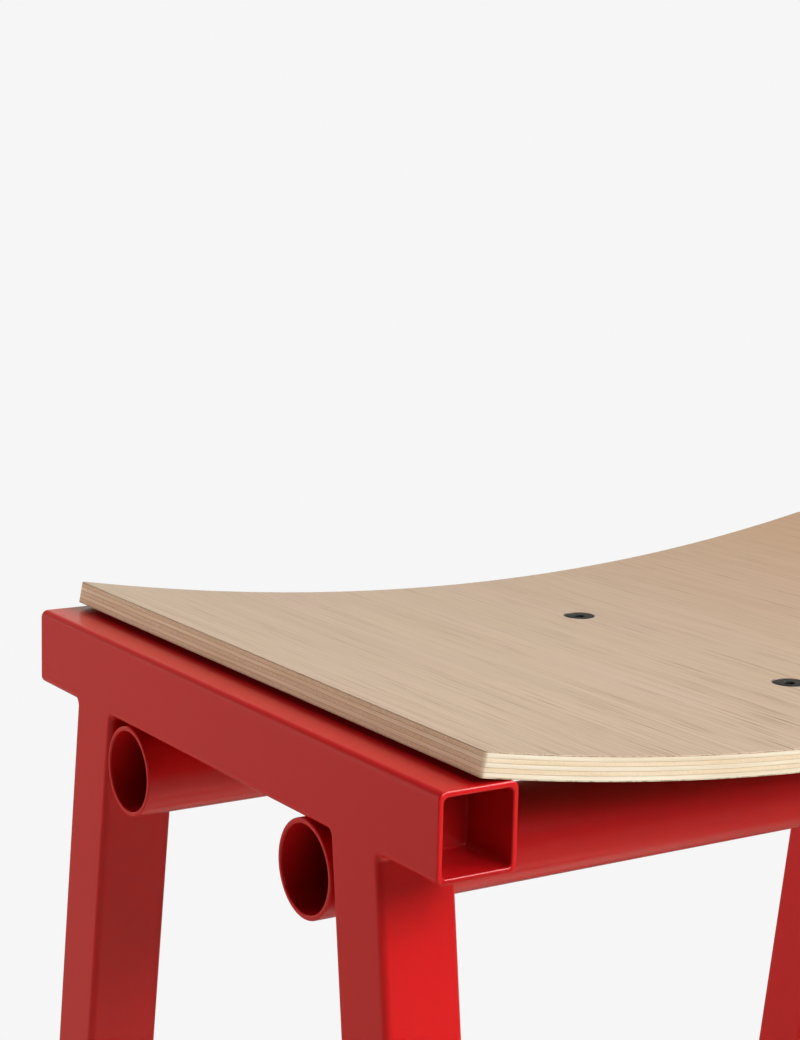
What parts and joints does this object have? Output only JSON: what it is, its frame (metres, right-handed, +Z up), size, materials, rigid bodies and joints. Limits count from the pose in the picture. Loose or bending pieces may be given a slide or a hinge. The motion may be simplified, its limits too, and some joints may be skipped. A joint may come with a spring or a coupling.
{
  "type": "bar stool",
  "caption": "Bar stool with splayed square-tube end frames, round cross tubes and a bent plywood saddle seat with a wood face veneer, held by countersunk screws.",
  "frame": {"origin": "on the floor, in the middle between the feet", "axes": "+Z up, +X from the left end frame to the right one, -Y towards the front"},
  "size_m": [0.428, 0.41, 0.7683],
  "materials": {
    "frame_coat": "satin red powder coat",
    "seat_face": "matt lacquered oak face veneer, grain front to back",
    "ply_along": "bare ply edge, grain side to side",
    "ply_across": "bare ply edge, grain front to back",
    "screw": "black oxide",
    "glide": "moulded black plastic"
  },
  "bodies": {
    "root": {"seat_veneer_top": "seat_face", "seat_veneer_bottom": "seat_face", "seat_ply_1": "ply_along", "seat_ply_2": "ply_across", "seat_ply_3": "ply_along", "seat_ply_4": "ply_across", "seat_ply_5": "ply_along", "rail_left": "frame_coat", "rail_right": "frame_coat", "leg_front_left": "frame_coat", "rail_plate_front_left": "frame_coat", "glide_front_left": "glide", "leg_rear_left": "frame_coat", "rail_plate_rear_left": "frame_coat", "glide_rear_left": "glide", "leg_front_right": "frame_coat", "rail_plate_front_right": "frame_coat", "glide_front_right": "glide", "leg_rear_right": "frame_coat", "rail_plate_rear_right": "frame_coat", "glide_rear_right": "glide", "seat_tube_front": "frame_coat", "footrest_front": "frame_coat", "seat_boss_front": "frame_coat", "seat_tube_rear": "frame_coat", "footrest_rear": "frame_coat", "seat_boss_rear": "frame_coat", "seat_screws": "screw"}
  },
  "joints": []
}
